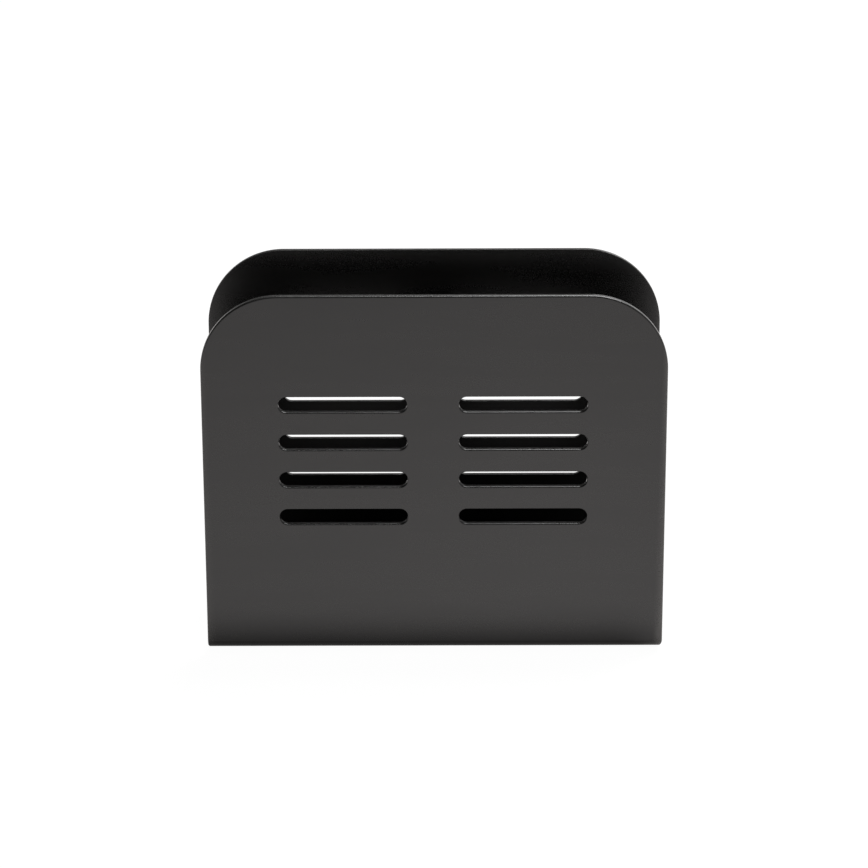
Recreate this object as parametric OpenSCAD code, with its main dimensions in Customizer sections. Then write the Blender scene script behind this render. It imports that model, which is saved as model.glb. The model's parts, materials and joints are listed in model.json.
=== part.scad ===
// Upright open-topped napkin holder folded from one sheet of steel, on four feet.
// +X runs along the width, +Y from the front panel to the rear panel, +Z up.
// The origin is the centre of the footprint, on the table under the feet.

/* [Sheet] */
// Width of the folded sheet
width = 152.7; // [140:0.1:190]
// Height of each panel, measured up its slope from the sheet's underside
height = 126.0; // [115:0.1:170]
// Depth over the outer faces where the panels meet the base
base_depth = 44.5; // [40:0.1:80]
// Thickness of the coated sheet
thickness = 2.0; // [1.2:0.1:2.4]
// Outside radius of the two bends
bend_radius = 3.0; // [2.6:0.1:4]
// Outward lean of each panel from upright, in degrees
lean = 1.46; // [0.2:0.01:3]
// Radius of the upper corners of each panel
corner_radius = 25.8; // [10:0.1:26]

/* [Slots] */
// Number of slot rows in each panel
rows = 4; // [1:1:5]
// Length of a slot over its round ends
slot_length = 42.3; // [20:0.1:46]
// Height of a slot
slot_height = 5.3; // [3:0.1:8]
// Distance between the centre lines of two rows
row_pitch = 13.3; // [10:0.1:15]
// Height of the top row's centre line above the sheet's underside, up the slope
top_row = 88.2; // [80:0.1:90]
// Distance of a column's middle from the middle of the slot pattern
column_offset = 29.65; // [25:0.05:35]
// How far the slot pattern sits from the panel's middle, to the left when negative
pattern_offset = -0.4; // [-1:0.1:1]

/* [Feet] */
// Diameter of a foot where it meets the adhesive
foot_diameter = 10; // [6:0.5:12]
// Height from the table to the sheet's underside
stand_height = 2.0; // [1.6:0.1:2.6]
// Thickness of the adhesive disc between a foot and the sheet
adhesive_thickness = 0.2; // [0.1:0.05:0.4]
// Distance from the sheet's outer edges to a foot's middle
foot_inset = 12; // [10:0.5:13]

/* [Hidden] */
$fn = 96;

sheet_color = [0.07, 0.07, 0.07];
foot_color = [0.13, 0.13, 0.13];
adhesive_color = [0.75, 0.75, 0.7];

// Distance from the corner of the two outer faces to the point where a bend ends
tangent = bend_radius * (1 - sin(lean)) / cos(lean);
// Centre of the rear bend, from the holder's middle plane and from the table
bend_y = base_depth / 2 - tangent;
bend_z = stand_height + bend_radius;
bend_segments = 24;
// Top of the panels above the table
panel_top = stand_height + height * cos(lean);
// How far the blank runs past the finished edges before it is trimmed
spare = 2;
// How far the bar between the upper corners reaches into the square part below
overlap = 1;

foot_x = width / 2 - foot_inset;
foot_y = base_depth / 2 - foot_inset;
foot_height = stand_height - adhesive_thickness;
// Lower rim of a foot: [inset from the foot's full radius, height above the table]
foot_rim = [[0.9, 0], [0.5, 0.15], [0.25, 0.5]];
// Distance from a foot's upper edge in to the adhesive's edge
adhesive_margin = 0.3;

// End-view points [y, z] round the rear bend
function bend_arc(radius, start, end) = [
    for (i = [0 : bend_segments])
        let (angle = start + (end - start) * i / bend_segments)
        [bend_y + radius * cos(angle), bend_z + radius * sin(angle)]
];

// End-view point [y, z] on the rear panel, up its slope and in from its outer face
function panel_point(up, inward) = [
    base_depth / 2 + up * sin(lean) - inward * cos(lean),
    stand_height + up * cos(lean) + inward * sin(lean)
];

// Rear half of the end view, from the underside round to the top of the base
rear_half = concat(
    bend_arc(bend_radius, -90, -lean),
    [panel_point(height + spare, 0), panel_point(height + spare, thickness)],
    bend_arc(bend_radius - thickness, -lean, -90)
);
front_half = [for (i = [len(rear_half) - 1 : -1 : 0]) [-rear_half[i][0], rear_half[i][1]]];

module slot_outline() {
    straight = slot_length - slot_height;
    square([straight, slot_height], center = true);
    for (side = [-1, 1])
        translate([side * straight / 2, 0]) circle(d = slot_height);
}

// Front view: square at the base, rounded at the top, slotted
module front_outline() {
    corner_z = panel_top - corner_radius;
    corner_x = width / 2 - corner_radius;
    difference() {
        union() {
            translate([-width / 2, 0]) square([width, corner_z]);
            translate([-corner_x, corner_z - overlap])
                square([2 * corner_x, corner_radius + overlap]);
            for (side = [-1, 1])
                translate([side * corner_x, corner_z]) circle(r = corner_radius);
        }
        for (side = [-1, 1], row = [0 : rows - 1])
            translate([pattern_offset + side * column_offset,
                       stand_height + (top_row - row * row_pitch) * cos(lean)])
                slot_outline();
    }
}

// End view, run along the full width: base, two bends and two leaning panels
module folded_blank() {
    translate([-width / 2 - spare, 0, 0]) rotate([90, 0, 90])
        linear_extrude(height = width + 2 * spare) polygon(concat(rear_half, front_half));
}

// Blank trimmed and slotted through both panels by the front view
module folded_sheet() {
    color(sheet_color) intersection() {
        folded_blank();
        translate([0, base_depth, 0]) rotate([90, 0, 0])
            linear_extrude(height = 2 * base_depth) front_outline();
    }
}

// Round foot, narrowed towards its lower rim; side_x and side_y are -1 or 1
module foot(side_x, side_y) {
    radius = foot_diameter / 2;
    color(foot_color) translate([side_x * foot_x, side_y * foot_y, 0])
        rotate_extrude() polygon(concat(
            [[0, 0]],
            [for (point = foot_rim) [radius - point[0], point[1]]],
            [[radius, foot_height], [0, foot_height]]
        ));
}

module adhesive(side_x, side_y) {
    color(adhesive_color) translate([side_x * foot_x, side_y * foot_y, foot_height])
        cylinder(h = adhesive_thickness, d = foot_diameter - 2 * adhesive_margin);
}

module foot_front_left() { foot(-1, -1); }
module foot_front_right() { foot(1, -1); }
module foot_rear_left() { foot(-1, 1); }
module foot_rear_right() { foot(1, 1); }
module adhesive_front_left() { adhesive(-1, -1); }
module adhesive_front_right() { adhesive(1, -1); }
module adhesive_rear_left() { adhesive(-1, 1); }
module adhesive_rear_right() { adhesive(1, 1); }

folded_sheet();
foot_front_left();
foot_front_right();
foot_rear_left();
foot_rear_right();
adhesive_front_left();
adhesive_front_right();
adhesive_rear_left();
adhesive_rear_right();
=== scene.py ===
"""A holder folded from one coated steel sheet, on four rubber feet with adhesive discs.

X runs across the width and Z is up, with the table at z = 0. The base joins a front panel (-Y)
and a rear panel (+Y). Both lean outward, have rounded top corners and carry two columns of slots.
"""
import json
import math

import bmesh
import bpy
from mathutils import Matrix, Vector
from mathutils.geometry import delaunay_2d_cdt

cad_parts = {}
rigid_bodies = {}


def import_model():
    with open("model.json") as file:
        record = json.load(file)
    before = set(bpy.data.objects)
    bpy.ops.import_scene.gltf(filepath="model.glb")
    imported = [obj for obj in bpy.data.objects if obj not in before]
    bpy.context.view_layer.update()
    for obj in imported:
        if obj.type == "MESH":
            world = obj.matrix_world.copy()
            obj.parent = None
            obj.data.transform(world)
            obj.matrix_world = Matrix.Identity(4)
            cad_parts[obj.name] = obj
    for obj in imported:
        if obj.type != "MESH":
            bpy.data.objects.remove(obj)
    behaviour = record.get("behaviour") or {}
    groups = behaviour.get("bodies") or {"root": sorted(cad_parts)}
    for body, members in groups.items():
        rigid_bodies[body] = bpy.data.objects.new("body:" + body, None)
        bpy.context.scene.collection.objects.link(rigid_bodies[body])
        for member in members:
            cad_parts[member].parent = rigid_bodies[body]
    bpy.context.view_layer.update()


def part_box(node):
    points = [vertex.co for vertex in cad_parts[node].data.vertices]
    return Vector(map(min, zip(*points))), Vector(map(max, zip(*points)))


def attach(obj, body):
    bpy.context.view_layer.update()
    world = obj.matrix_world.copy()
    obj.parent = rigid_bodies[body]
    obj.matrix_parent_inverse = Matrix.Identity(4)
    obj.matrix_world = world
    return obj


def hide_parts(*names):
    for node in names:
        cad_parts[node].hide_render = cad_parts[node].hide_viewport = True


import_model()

MM = 0.001

# ---------------------------------------------------------------- sheet dimensions (mm)
sheet_low, sheet_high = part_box("folded_sheet")
WIDTH = (sheet_high.x - sheet_low.x) / MM
STAND = sheet_low.z / MM            # table to the sheet's underside
THICK = 2.0
LEAN = math.radians(1.46)           # each panel's outward lean
PANEL_H = 126.0                     # panel height up its slope
DEPTH = 44.5                        # over the outer faces at the base
BEND_R = 3.0                        # outside bend radius
CORNER_R = 25.8                     # upper corner radius
OUTER_ROUND = 0.60                  # rounding of a cut edge on the outer side
INNER_ROUND = 0.28                  # rounding of a cut edge on the inner side
SLOT_ROUND = 0.7                    # the slots' rounding as a share of the outline's

SLOT_L, SLOT_H = 42.3, 5.3
SLOT_PITCH, SLOT_ROWS = 13.3, 4
TOP_ROW = 88.2                      # height of the top row up the panel
COLUMN_X = 29.65                    # slot columns either side of the pattern's middle
PATTERN_X = -0.4                    # middle of the slot pattern

# Change of width at the bends' cut sides
BEND_MID, BEND_REACH = 1.4, 2.9     # centre past the bend's start, and reach along the strip
SIDE_REACH = 2.6                    # reach in from the side
SWELL = 0.07                        # outward, at the inner face
DRAW_RIGHT, DRAW_LEFT = 0.45, 0.1   # inward, at the outer face

# Mesh divisions
BASE_SEG, BEND_SEG, SIDE_SEG = 4, 16, 22
CORNER_SEG, TOP_SEG = 44, 30
COLUMNS, PANEL_ROWS = 42, 30
SLOT_END_SEG, SLOT_SIDE_SEG = 24, 12
ROUND_SEG = 7
SLOT_RINGS = (1.3, 2.6)             # extra mesh rings round each slot
SLOT_CLEAR, RIM_CLEAR = 3.8, 2.2    # panel grid to slot outlines and to the rim

# s is the distance along the unfolded strip from the middle of the base, positive to the rear
BEND_TANGENT = BEND_R * (1 - math.sin(LEAN)) / math.cos(LEAN)
BEND_Y = DEPTH / 2 - BEND_TANGENT
S_BEND = BEND_Y
S_PANEL = S_BEND + BEND_R * (math.pi / 2 - LEAN)
S_TOP = S_PANEL + PANEL_H - BEND_TANGENT


def spread(start, end, count):
    return [start + (end - start) * i / count for i in range(count + 1)]


def mirrored(values):
    return [-v for v in reversed(values)] + [0.0] + values


def closed_pairs(loop):
    return zip(loop, loop[1:] + loop[:1])


ROWS = spread(0, S_BEND, BASE_SEG)[1:] + spread(S_BEND, S_PANEL, BEND_SEG)[1:]
ROWS += [S_PANEL + 0.9, S_PANEL + 2.6]
S_GRID = ROWS[-1]                   # quads up to here, triangulated panels beyond
SIDE_S = mirrored(ROWS + spread(S_GRID, S_TOP - CORNER_R, SIDE_SEG)[1:])
CORNER_X, CORNER_S = WIDTH / 2 - CORNER_R, S_TOP - CORNER_R
TOP_X = spread(-CORNER_X, CORNER_X, TOP_SEG)
GRID_X = spread(-(WIDTH / 2 - OUTER_ROUND), WIDTH / 2 - OUTER_ROUND, COLUMNS)

SLOT_END_R, SLOT_HALF = SLOT_H / 2, (SLOT_L - SLOT_H) / 2
SLOTS = [(PATTERN_X + column * COLUMN_X,
          side * (S_PANEL + TOP_ROW - row * SLOT_PITCH - BEND_TANGENT))
         for side in (-1, 1) for column in (-1, 1) for row in range(SLOT_ROWS)]


# ---------------------------------------------------------------- folding
def station(s):
    """Outer-face point, inward normal and direction of increasing s, each as (y, z)."""
    side, along = (1.0 if s >= 0 else -1.0), abs(s)
    if along <= S_BEND:
        return (s, STAND), (0.0, 1.0), (1.0, 0.0)
    if along < S_PANEL:
        turn = (along - S_BEND) / BEND_R
        out_y, out_z = side * math.sin(turn), -math.cos(turn)
        return ((side * BEND_Y + BEND_R * out_y, STAND + BEND_R + BEND_R * out_z),
                (-out_y, -out_z), (math.cos(turn), side * math.sin(turn)))
    height = BEND_TANGENT + along - S_PANEL
    return ((side * (DEPTH / 2 + height * math.sin(LEAN)), STAND + height * math.cos(LEAN)),
            (-side * math.cos(LEAN), math.sin(LEAN)), (math.sin(LEAN), side * math.cos(LEAN)))


def smoothstep(t):
    t = max(0.0, min(1.0, t))
    return t * t * (3 - 2 * t)


def folded_point(x, s, depth):
    """Folded place (mm) of a point at x, s and depth in from the outer face.

    At the cut sides of a bend the sheet swells on the inside and draws in on the outside.
    """
    (y, z), (normal_y, normal_z), _ = station(s)
    near_bend = smoothstep(1 - abs(abs(s) - (S_BEND + BEND_MID)) / BEND_REACH)
    near_side = smoothstep((abs(x) - (WIDTH / 2 - SIDE_REACH)) / SIDE_REACH)
    draw = (DRAW_RIGHT if x > 0 else DRAW_LEFT) * (1 - depth / THICK)
    x += (1 if x > 0 else -1) * (SWELL * depth / THICK - draw) * near_bend * near_side
    return Vector((x, y + normal_y * depth, z + normal_z * depth))


def folded_direction(s, along_x, along_s, inward):
    _, (normal_y, normal_z), (tangent_y, tangent_z) = station(s)
    return Vector((along_x, along_s * tangent_y + inward * normal_y,
                   along_s * tangent_z + inward * normal_z)).normalized()


# ---------------------------------------------------------------- cut edges
# Each loop lists (x, s, direction x, direction s), the direction pointing out of the material.
def outline(inset):
    """Loop round the unfolded sheet, inset from its cut edge."""
    radius = CORNER_R - inset

    def corner(centre_x, angles):
        return [(centre_x + radius * math.cos(a), CORNER_S + radius * math.sin(a),
                 math.cos(a), math.sin(a)) for a in angles]

    steps = range(1, CORNER_SEG)
    half = [(WIDTH / 2 - inset, s, 1, 0) for s in SIDE_S]
    half += corner(CORNER_X, [math.pi / 2 * i / CORNER_SEG for i in steps])
    half += [(x, S_TOP - inset, 0, 1) for x in reversed(TOP_X)]
    half += corner(-CORNER_X, [math.pi / 2 * (1 + i / CORNER_SEG) for i in steps])
    return half + [(-x, -s, -out_x, -out_s) for x, s, out_x, out_s in half]


def slot_loop(slot_x, slot_s, grow):
    """Loop round one slot, grown outside its cut edge."""
    radius = SLOT_END_R + grow
    loop = []
    for side, start in ((1, -math.pi / 2), (-1, math.pi / 2)):
        for i in range(SLOT_END_SEG + 1):
            angle = start + math.pi * i / SLOT_END_SEG
            cos, sin = math.cos(angle), math.sin(angle)
            loop.append((slot_x + side * SLOT_HALF + radius * cos, slot_s + radius * sin,
                         -cos, -sin))
        for i in range(1, SLOT_SIDE_SEG):
            x = side * SLOT_HALF * (1 - 2 * i / SLOT_SIDE_SEG)
            loop.append((slot_x + x, slot_s + side * radius, 0, -side))
    return loop


def slot_edge(slot_x, slot_s):
    return lambda inset: slot_loop(slot_x, slot_s, inset * SLOT_ROUND)


def in_slot(x, s, grow):
    for slot_x, slot_s in SLOTS:
        past_straight = max(0.0, abs(x - slot_x) - SLOT_HALF)
        if math.hypot(past_straight, s - slot_s) < SLOT_END_R + grow:
            return True
    return False


def near_rim(x, s):
    past_x, past_s = abs(x) - CORNER_X, s - CORNER_S
    in_corner = past_x > 0 and past_s > 0
    return (in_corner and math.hypot(past_x, past_s) > CORNER_R - RIM_CLEAR
            or s > S_TOP - RIM_CLEAR)


# ---------------------------------------------------------------- flat pattern
class FlatPattern:
    """Points (x, s) and faces of the unfolded sheet; coinciding points are shared."""

    def __init__(self):
        self.points, self.faces, self.ids = [], [], {}
        self.rim = self.loop(outline(OUTER_ROUND))
        self.slot_rims = [self.loop(slot_edge(*slot)(OUTER_ROUND)) for slot in SLOTS]
        self.add_base_and_bends()
        for side in (-1, 1):
            self.add_panel(side)

    def point(self, x, s):
        place = (round(x, 5), round(s, 5))
        if place not in self.ids:
            self.ids[place] = len(self.points)
            self.points.append((x, s))
        return self.ids[place]

    def loop(self, entries):
        return [self.point(x, s) for x, s, _, _ in entries]

    def add_base_and_bends(self):
        strip = mirrored(ROWS)
        for s0, s1 in zip(strip, strip[1:]):
            for x0, x1 in zip(GRID_X, GRID_X[1:]):
                self.faces.append((self.point(x0, s0), self.point(x1, s0),
                                   self.point(x1, s1), self.point(x0, s1)))

    def add_panel(self, side):
        """Constrained triangles round one panel's slots."""
        points = self.points
        local, members, vertices, edges = {}, [], [], []

        def add(i):
            if i not in local:
                local[i] = len(members)
                members.append(i)
                vertices.append(Vector((points[i][0], side * points[i][1])))
            return local[i]

        def add_loop(ids):
            for a, b in closed_pairs(ids):
                edges.append((add(a), add(b)))

        def angle_in_panel(i):
            return math.atan2(side * points[i][1] - (S_GRID + 50), points[i][0])

        border = [i for i in self.rim if side * points[i][1] >= S_GRID - 1e-6]
        border += [self.point(x, side * S_GRID) for x in GRID_X[1:-1]]
        add_loop(sorted(set(border), key=angle_in_panel))
        for (slot_x, slot_s), rim in zip(SLOTS, self.slot_rims):
            if slot_s * side < 0:
                continue
            add_loop(rim)
            for grow in SLOT_RINGS:
                for i in self.loop(slot_loop(slot_x, slot_s, grow)):
                    add(i)
        for s in spread(S_GRID, S_TOP, PANEL_ROWS)[1:-1]:
            for x in GRID_X[1:-1]:
                if not near_rim(x, s) and not in_slot(x, side * s, SLOT_CLEAR):
                    add(self.point(x, side * s))

        result = delaunay_2d_cdt(vertices, edges, [], 0, 1e-6)
        triangles, sources = result[2], result[3]
        for triangle in triangles:
            face = tuple(members[sources[v][0]] for v in triangle)
            mid_x = sum(points[i][0] for i in face) / 3
            mid_s = sum(points[i][1] for i in face) / 3
            # 0.98 keeps the centre test just inside the slot's rim
            if not in_slot(mid_x, mid_s, OUTER_ROUND * SLOT_ROUND * 0.98):
                self.faces.append(face)


# ---------------------------------------------------------------- solid sheet
def edge_profile():
    """Section of a cut edge, outer to inner: (inset, depth, inward part, sideways part).

    The last two columns are the surface normal's parts.
    """
    angles = [math.pi / 2 * i / ROUND_SEG for i in range(1, ROUND_SEG + 1)]
    outer = [(OUTER_ROUND * (1 - math.sin(a)), OUTER_ROUND * (1 - math.cos(a)),
              -math.cos(a), math.sin(a)) for a in angles]
    middle = [(0.0, (OUTER_ROUND + THICK - INNER_ROUND) / 2, 0.0, 1.0)]
    inner = [(INNER_ROUND * (1 - math.sin(a)), THICK - INNER_ROUND * (1 - math.cos(a)),
              math.cos(a), math.sin(a)) for a in reversed(angles)]
    return outer + middle + inner


def link_object(name, mesh):
    obj = bpy.data.objects.new(name, mesh)
    bpy.context.scene.collection.objects.link(obj)
    return obj


def build_sheet():
    flat = FlatPattern()
    # (point ids, loop at an inset, scale of the normal's inward part)
    cut_edges = [(flat.rim, outline, 1.0)]
    cut_edges += [(ids, slot_edge(*slot), SLOT_ROUND)
                  for ids, slot in zip(flat.slot_rims, SLOTS)]
    vertices, normals, edge_wear, inner_side, faces = [], [], [], [], []

    def add_vertex(x, s, depth, along_x, along_s, inward, wear):
        vertices.append(folded_point(x, s, depth) * MM)
        normals.append(folded_direction(s, along_x, along_s, inward))
        edge_wear.append(wear)
        inner_side.append(depth / THICK)
        return len(vertices) - 1

    # outer face, then inner face, whose rims follow the smaller inner rounding
    inner_points = list(flat.points)
    for ids, loop_at, _ in cut_edges:
        for i, (x, s, _, _) in zip(ids, loop_at(INNER_ROUND)):
            inner_points[i] = (x, s)
    for points, depth, inward in ((flat.points, 0.0, -1.0), (inner_points, THICK, 1.0)):
        for x, s in points:
            add_vertex(x, s, depth, 0, 0, inward, 0.0)
    inner_start = len(flat.points)
    for face in flat.faces:
        faces.append(face)
        faces.append(tuple(i + inner_start for i in reversed(face)))

    def bridge(first, second):
        for (a0, a1), (b0, b1) in zip(closed_pairs(first), closed_pairs(second)):
            faces.append((a0, b0, b1, a1))

    for ids, loop_at, inward_scale in cut_edges:
        previous = ids
        for inset, depth, inward, sideways in edge_profile():
            ring = [add_vertex(x, s, depth, sideways * out_x, sideways * out_s,
                               inward * inward_scale, sideways)
                    for x, s, out_x, out_s in loop_at(inset)]
            bridge(previous, ring)
            previous = ring
        bridge(previous, [i + inner_start for i in ids])

    mesh = bpy.data.meshes.new("folded_steel_sheet")
    mesh.from_pydata(vertices, [], faces)
    mesh.update()
    bm = bmesh.new()
    bm.from_mesh(mesh)
    bmesh.ops.recalc_face_normals(bm, faces=bm.faces)
    triangles = [f for f in bm.faces if len(f.verts) == 3]
    bmesh.ops.join_triangles(bm, faces=triangles, angle_face_threshold=0.02,
                             angle_shape_threshold=1.1)
    bm.normal_update()
    bm.to_mesh(mesh)
    bm.free()
    mesh.polygons.foreach_set("use_smooth", [True] * len(mesh.polygons))
    mesh.normals_split_custom_set_from_vertices(normals)
    for name, values in (("edge_wear", edge_wear), ("inner_side", inner_side)):
        attribute = mesh.attributes.new(name, "FLOAT", "POINT")
        attribute.data.foreach_set("value", values)
    return link_object("folded_steel_sheet", mesh)


# ---------------------------------------------------------------- feet and adhesive discs
def revolve(name, profile, centre, base_z, wobble=0.0, segments=72):
    """Turned piece from a profile of (radius, height) in mm that starts and ends on the axis."""
    vertices, faces, rings = [], [], []
    for radius, z in profile:
        if radius < 1e-9:
            rings.append([len(vertices)])
            vertices.append((centre.x, centre.y, base_z + z))
            continue
        rings.append(list(range(len(vertices), len(vertices) + segments)))
        for i in range(segments):
            a = 2 * math.pi * i / segments
            waves = (math.sin(3 * a + centre.x) + 0.6 * math.sin(7 * a + centre.y)
                     + 0.4 * math.sin(13 * a))
            r = radius * (1 + wobble * waves)
            vertices.append((centre.x + r * math.cos(a), centre.y + r * math.sin(a), base_z + z))
    for lower, upper in zip(rings, rings[1:]):
        for i in range(segments):
            j = (i + 1) % segments
            if len(lower) == 1:
                faces.append((lower[0], upper[j], upper[i]))
            elif len(upper) == 1:
                faces.append((lower[i], lower[j], upper[0]))
            else:
                faces.append((lower[i], lower[j], upper[j], upper[i]))
    mesh = bpy.data.meshes.new(name)
    mesh.from_pydata([Vector(v) * MM for v in vertices], [], faces)
    bm = bmesh.new()
    bm.from_mesh(mesh)
    bmesh.ops.recalc_face_normals(bm, faces=bm.faces)
    bm.to_mesh(mesh)
    bm.free()
    mesh.polygons.foreach_set("use_smooth", [True] * len(mesh.polygons))
    return link_object(name, mesh)


def arc(centre_r, centre_z, radius, start, end, steps=8):
    """Profile points on an arc between two angles in degrees."""
    angles = [math.radians(a) for a in spread(start, end, steps)]
    return [(centre_r + radius * math.cos(a), centre_z + radius * math.sin(a)) for a in angles]


def foot_profile(radius, height):
    # shallow dimple in the middle of the underside
    profile = [(0, 0.22), (0.7, 0.2), (1.3, 0.1), (1.7, 0.02), (1.95, 0.0), (2.7, 0.0)]
    # ring-shaped groove round it
    profile += [(2.86, 0.02), (2.96, 0.08), (3.1, 0.1), (3.24, 0.08), (3.34, 0.02), (3.5, 0.0)]
    # rounded lower edge, tapered side and a fine lip at the top
    profile += arc(radius - 1.12, 0.62, 0.62, -90, -12)
    profile += [(radius - 0.36, 0.95), (radius - 0.22, 1.3), (radius - 0.15, height - 0.22)]
    profile += arc(radius - 0.12, height - 0.12, 0.12, -80, 90)
    return profile + [(radius - 0.6, height), (radius * 0.5, height), (0, height)]


def disc_profile(radius, thick):
    rim = arc(radius - thick / 2, thick / 2, thick / 2, -90, 90, steps=6)
    return ([(0, 0), (radius * 0.6, 0), (radius - 0.25, 0)] + rim
            + [(radius - 0.25, thick), (radius * 0.6, thick), (0, thick)])


def build_feet():
    low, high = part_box("foot_front_left")
    foot_r = (high.x - low.x) / MM / 2
    foot_h = (high.z - low.z) / MM
    feet, discs = [], []
    for corner in ("front_left", "front_right", "rear_left", "rear_right"):
        low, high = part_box(f"foot_{corner}")
        centre = (low + high) / 2 / MM
        foot = revolve(f"rubber_foot_{corner}", foot_profile(foot_r, foot_h), centre, base_z=0.0)
        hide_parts(f"foot_{corner}")
        feet.append(foot)

        low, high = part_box(f"adhesive_{corner}")
        profile = disc_profile(radius=(high.x - low.x) / MM / 2, thick=(high.z - low.z) / MM)
        disc = revolve(f"adhesive_disc_{corner}", profile, centre, base_z=low.z / MM,
                       wobble=0.004)
        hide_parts(f"adhesive_{corner}")
        discs.append(disc)
    return feet, discs


# ---------------------------------------------------------------- shader helpers
class Shader:
    """Short calls for building a node tree; an input is a value or another node's output."""

    def __init__(self, tree):
        self.tree = tree

    def feed(self, socket, value):
        if isinstance(value, bpy.types.NodeSocket):
            self.tree.links.new(value, socket)
        elif socket.type == "RGBA":
            socket.default_value = (*value, 1)
        else:
            socket.default_value = value

    def fill(self, node, inputs):
        for name, value in inputs.items():
            self.feed(node.inputs[name], value)

    def add(self, kind, inputs=None):
        node = self.tree.nodes.new(kind)
        self.fill(node, inputs or {})
        return node

    def principled(self, inputs):
        self.fill(self.tree.nodes["Principled BSDF"], inputs)

    def coords(self, output="Object"):
        return self.add("ShaderNodeTexCoord").outputs[output]

    def axes(self, vector):
        return self.add("ShaderNodeSeparateXYZ", {"Vector": vector}).outputs

    def attribute(self, name):
        node = self.add("ShaderNodeAttribute")
        node.attribute_name = name
        return node.outputs["Fac"]

    def noise(self, vector, scale, detail=2.0, roughness=0.5):
        return self.add("ShaderNodeTexNoise", {
            "Vector": vector, "Scale": scale, "Detail": detail, "Roughness": roughness,
        }).outputs["Fac"]

    def remap(self, value, span, to):
        return self.add("ShaderNodeMapRange", {
            "Value": value, "From Min": span[0], "From Max": span[1],
            "To Min": to[0], "To Max": to[1]}).outputs["Result"]

    def calc(self, operation, first, second=0):
        node = self.add("ShaderNodeMath")
        node.operation = operation
        self.feed(node.inputs[0], first)
        self.feed(node.inputs[1], second)
        return node.outputs[0]

    def multiply(self, first, *others):
        for other in others:
            first = self.calc("MULTIPLY", first, other)
        return first

    def mix(self, factor, first, second):
        node = self.add("ShaderNodeMix")
        node.data_type = "RGBA"
        self.feed(node.inputs["Factor"], factor)
        self.feed(node.inputs[6], first)
        self.feed(node.inputs[7], second)
        return node.outputs[2]

    def mix_shader(self, factor, first, second):
        node = self.add("ShaderNodeMixShader")
        for socket, value in zip(node.inputs, (factor, first, second)):
            self.feed(socket, value)
        return node.outputs["Shader"]

    def emission(self, color, strength):
        inputs = {"Color": color, "Strength": strength}
        return self.add("ShaderNodeEmission", inputs).outputs["Emission"]

    def bump(self, height, strength, distance, normal=None):
        inputs = {"Height": height, "Strength": strength, "Distance": distance}
        if normal:
            inputs["Normal"] = normal
        return self.add("ShaderNodeBump", inputs).outputs["Normal"]


def new_material(name):
    material = bpy.data.materials.new(name)
    material.use_nodes = True
    return material, Shader(material.node_tree)


# ---------------------------------------------------------------- materials (lengths in metres)
def painted_side_sheen(sh, place, x, z):
    """Strength of the greyer band along the sheet's two sides, a painted sheen standing in for
    reflected light, stronger on the right where the light comes from.
    """
    from_side = sh.calc("SUBTRACT", WIDTH / 2 * MM, sh.calc("ABSOLUTE", x))
    band_width = sh.remap(z, span=(0.0, 0.11), to=(0.0036, 0.0020))
    rim = sh.calc("SUBTRACT", 1.0, sh.calc("DIVIDE", from_side, band_width))
    rim = sh.calc("POWER", sh.calc("MAXIMUM", rim, 0), 1.6)
    return sh.multiply(
        rim,
        sh.remap(x, span=(-0.07, 0.07), to=(0.4, 1.0)),
        sh.remap(z, span=(0.004, 0.018), to=(2.5, 1.08)),       # painted sheen stronger round the bends
        sh.remap(z, span=(0.0022, 0.0055), to=(0.15, 1.0)),     # fades out under the base
        sh.remap(sh.noise(place, scale=60, detail=3), span=(0.3, 0.7), to=(0.8, 1.0)))


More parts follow.
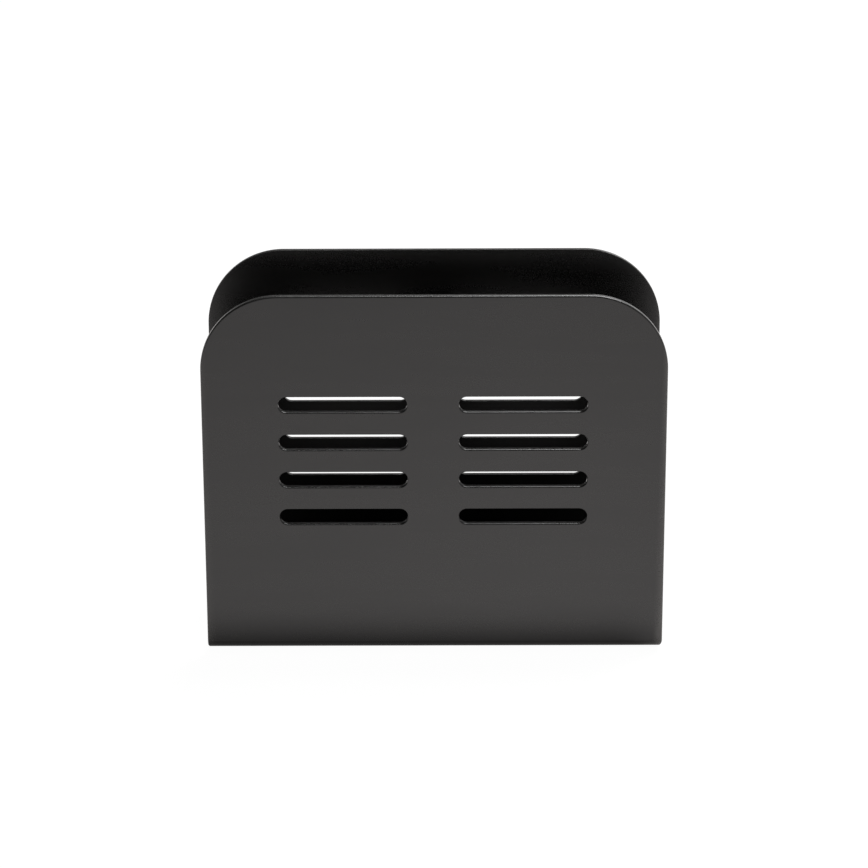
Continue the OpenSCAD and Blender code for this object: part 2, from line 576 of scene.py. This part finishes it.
def powder_coat():
    """Satin black powder coat."""
    base_roughness = 0.28
    material, sh = new_material("satin_black_powder_coat")
    place = sh.coords()
    x, y, z = sh.axes(place)
    inner = sh.attribute("inner_side")
    grain = sh.noise(place, scale=2600, detail=2, roughness=0.5)

    # colour: clouding, fine specks, thin coat at cut edges, painted sheen along the sides
    cloud = sh.noise(place, scale=14, detail=3)
    color = sh.mix(sh.remap(cloud, span=(0.35, 0.65), to=(0, 1)),
                   (0.0024, 0.0023, 0.0022), (0.0034, 0.0032, 0.0031))
    speck = sh.noise(place, scale=5200, detail=1)
    color = sh.mix(sh.remap(speck, span=(0.62, 0.78), to=(0, 0.5)), color,
                   (0.007, 0.0067, 0.0065))
    patches = sh.remap(sh.noise(place, scale=160, detail=3), span=(0.42, 0.7), to=(0.25, 1.0))
    wear = sh.multiply(sh.attribute("edge_wear"), patches)
    color = sh.mix(sh.multiply(wear, 0.6), color, (0.013, 0.0125, 0.012))
    # painted sheen: a lighter grey along both sides, stronger on the right, standing in for
    # reflected light
    color = sh.mix(painted_side_sheen(sh, place, x, z), color, (0.062, 0.059, 0.0565))
    # painted reflection: the top of the inner faces a little greyer, standing in for light they
    # mirror, fainter at the far left
    painted_top_reflection = sh.calc("POWER", sh.remap(z, span=(0.119, 0.128), to=(0.0, 0.78)), 1.9)
    painted_top_reflection = sh.multiply(painted_top_reflection, sh.remap(x, span=(-0.070, -0.045), to=(0.3, 1.0)), inner)
    color = sh.mix(painted_top_reflection, color, (0.052, 0.051, 0.050))

    # matt deep between the panels, duller on the rear panel's top edge toward the right
    deep = sh.multiply(inner, sh.remap(z, span=(0.083, 0.100), to=(1.0, 0.0)))
    dull = sh.multiply(sh.remap(y, span=(0.010, 0.020), to=(0.0, 0.75)),
                       sh.remap(z, span=(0.1262, 0.1274), to=(0.0, 1.0)),
                       sh.remap(x, span=(-0.045, 0.0), to=(0.0, 1.0)))
    gloss = sh.calc("SUBTRACT", sh.remap(deep, span=(0.0, 1.0), to=(0.5, 0.2)),
                    sh.multiply(dull, 0.5))

    # roughness: slanted streaks and grain, smoother at worn edges
    slanted = sh.add("ShaderNodeMapping", {
        "Vector": place, "Scale": (1.0, 1.0, 7.0), "Rotation": (0.0, 0.35, 0.0)})
    streaks = sh.noise(slanted.outputs["Vector"], scale=22, detail=3)
    roughness = sh.remap(streaks, span=(0.3, 0.7),
                         to=(base_roughness - 0.02, base_roughness + 0.025))
    roughness = sh.calc("ADD", roughness, sh.remap(grain, span=(0.3, 0.7), to=(-0.012, 0.012)))
    roughness = sh.calc("SUBTRACT", roughness, sh.multiply(wear, 0.05))
    roughness = sh.calc("ADD", roughness, sh.multiply(deep, 0.12))

    peel = sh.noise(place, scale=620, detail=2, roughness=0.45)
    relief = sh.bump(peel, strength=1.0, distance=0.000010)
    relief = sh.bump(grain, strength=1.0, distance=0.0000035, normal=relief)
    sh.principled({"Base Color": color, "Specular IOR Level": gloss, "Roughness": roughness,
                   "IOR": 1.52, "Normal": relief})
    return material


def foot_rubber():
    """Matt black cast rubber."""
    material, sh = new_material("matt_black_rubber")
    place = sh.coords()
    mottle = sh.noise(place, scale=420, detail=4)
    grain = sh.noise(place, scale=3500, detail=2)
    color = sh.mix(sh.remap(mottle, span=(0.35, 0.7), to=(0, 1)),
                   (0.022, 0.022, 0.023), (0.034, 0.033, 0.032))
    color = sh.mix(sh.remap(grain, span=(0.66, 0.8), to=(0, 0.6)), color, (0.09, 0.088, 0.084))
    sh.principled({
        "Base Color": color,
        "Roughness": sh.remap(mottle, span=(0.3, 0.7), to=(0.62, 0.78)),
        "Specular IOR Level": 0.4,
        "Normal": sh.bump(grain, strength=0.7, distance=0.00003)})
    return material


def adhesive_film():
    """Cloudy clear film with a cellular relief."""
    material, sh = new_material("clear_adhesive_film")
    place = sh.coords()
    cloud = sh.noise(place, scale=900, detail=3)
    cells = sh.add("ShaderNodeTexVoronoi", {"Vector": place, "Scale": 1400})
    sh.principled({
        "Base Color": sh.mix(sh.remap(cloud, span=(0.35, 0.65), to=(0, 1)),
                             (0.52, 0.5, 0.44), (0.66, 0.645, 0.6)),
        "Roughness": sh.remap(cloud, span=(0.3, 0.7), to=(0.2, 0.4)),
        "Transmission Weight": 0.45,
        "IOR": 1.47,
        "Normal": sh.bump(cells.outputs["Distance"], strength=0.5, distance=0.00002)})
    return material


def reflected_floor(sh):
    """What the coat mirrors: a lit table top, darker in the holder's shadow."""
    x, y, _ = sh.axes(sh.add("ShaderNodeNewGeometry").outputs["Position"])

    def beyond(coordinate, half_size):
        return sh.calc("MAXIMUM", sh.calc("SUBTRACT", sh.calc("ABSOLUTE", coordinate),
                                          half_size), 0)

    # distance from the shadow's core, a rectangle a little left of the middle
    away_x = beyond(sh.calc("ADD", x, 0.009), half_size=0.068)
    away_y = beyond(y, half_size=0.0215)
    away = sh.calc("SQRT", sh.calc("ADD", sh.multiply(away_x, away_x),
                                   sh.multiply(away_y, away_y)))
    contact = sh.remap(away, span=(0.0092, 0.0298), to=(0.23, 1.0))
    distance = sh.multiply(away, 1 / 0.29)
    falloff = sh.remap(sh.multiply(distance, distance), span=(0.0, 2.5), to=(1.0, 0.70))
    lateral = sh.multiply(sh.remap(x, span=(-0.15, 0.15), to=(0.862, 1.052)),
                          sh.remap(x, span=(0.05, 0.085), to=(1.0, 0.94)))
    strength = sh.multiply(contact, falloff, sh.multiply(lateral, 1.55))
    return sh.emission(color=(1.0, 0.963, 0.951), strength=strength)


def pale_floor():
    """Near-white to the camera, a matt surface to other rays, its own glow in reflections."""
    material, sh = new_material("pale_floor")
    sh.principled({"Base Color": (0.86, 0.86, 0.86), "Roughness": 0.9,
                   "Specular IOR Level": 0.0})
    rays = sh.add("ShaderNodeLightPath").outputs
    surface = sh.mix_shader(sh.multiply(rays["Is Camera Ray"], 0.93),
                            sh.tree.nodes["Principled BSDF"].outputs["BSDF"],
                            sh.emission(color=(1, 1, 1), strength=1.05))
    surface = sh.mix_shader(rays["Is Glossy Ray"], surface, reflected_floor(sh))
    sh.fill(sh.tree.nodes["Material Output"], {"Surface": surface})
    return material


# ---------------------------------------------------------------- floor, light and camera
def build_floor():
    bpy.ops.mesh.primitive_plane_add(size=8, location=(0, 0, 0))
    floor = bpy.context.object
    floor.name = "floor"
    floor.data.materials.append(pale_floor())


def build_world():
    """Dim surroundings, brighter toward the horizon and the right."""
    world = bpy.data.worlds.new("studio")
    bpy.context.scene.world = world
    world.use_nodes = True
    sh = Shader(world.node_tree)
    x, _, z = sh.axes(sh.coords("Generated"))
    horizon = sh.remap(z, span=(0.0, 0.28), to=(0.40, 0.0))
    rightward = sh.remap(x, span=(-0.2, 0.9), to=(0.0, 0.35))
    strength = sh.calc("ADD", sh.calc("ADD", horizon, rightward), 0.095)
    sh.fill(sh.tree.nodes["Background"], {"Color": (1, 0.99, 0.98), "Strength": strength})


def softbox(name, location, target, size, power):
    light = bpy.data.lights.new(name, "AREA")
    light.shape = "RECTANGLE"
    light.size, light.size_y = size
    light.energy = power
    obj = link_object(name, light)
    obj.location = location
    aim = Vector(target) - Vector(location)
    obj.rotation_euler = aim.to_track_quat("-Z", "Y").to_euler()
    obj.visible_camera = False


def build_lights():
    softbox("softbox_right_rear", location=(0.42, 0.56, 0.43), target=(0.0, 0.0, 0.08),
            size=(0.74, 0.58), power=0.9)
    softbox("softbox_high_rear", location=(0.29, 0.385, 0.95), target=(0.29, 0.08, 0.0),
            size=(0.58, 0.67), power=13.8)
    softbox("softbox_top", location=(-0.1, -0.1, 1.7), target=(0, 0, 0),
            size=(1.2, 1.2), power=2.6)


def build_camera():
    """Long lens in front of the holder, looking down and to the rear."""
    location = Vector((1.138, -1143.885, 503.488 + STAND))      # mm
    pitch, yaw, roll = (math.radians(a) for a in (20.813, -0.064, -0.173))
    forward = Vector((math.sin(yaw) * math.cos(pitch), math.cos(yaw) * math.cos(pitch),
                      -math.sin(pitch)))
    level_right = Vector((math.cos(yaw), -math.sin(yaw), 0))
    level_up = level_right.cross(forward)
    right = level_right * math.cos(roll) + level_up * math.sin(roll)
    up = -level_right * math.sin(roll) + level_up * math.cos(roll)
    data = bpy.data.cameras.new("camera")
    data.sensor_width = 36
    data.lens = 151.28266
    data.clip_start = 0.01
    camera = link_object("camera", data)
    matrix = Matrix((right, up, -forward)).transposed().to_4x4()
    matrix.translation = location * MM
    camera.matrix_world = matrix
    scene = bpy.context.scene
    scene.camera = camera
    scene.view_settings.view_transform = "Standard"
    scene.view_settings.look = "None"


# ---------------------------------------------------------------- build
sheet = build_sheet()
feet, discs = build_feet()

sheet.data.materials.append(powder_coat())
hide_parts("folded_sheet")
for pieces, material in ((feet, foot_rubber()), (discs, adhesive_film())):
    for piece in pieces:
        piece.data.materials.append(material)
for piece in [sheet] + feet + discs:
    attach(piece, "root")

build_floor()
build_world()
build_lights()
build_camera()

bpy.context.view_layer.update()
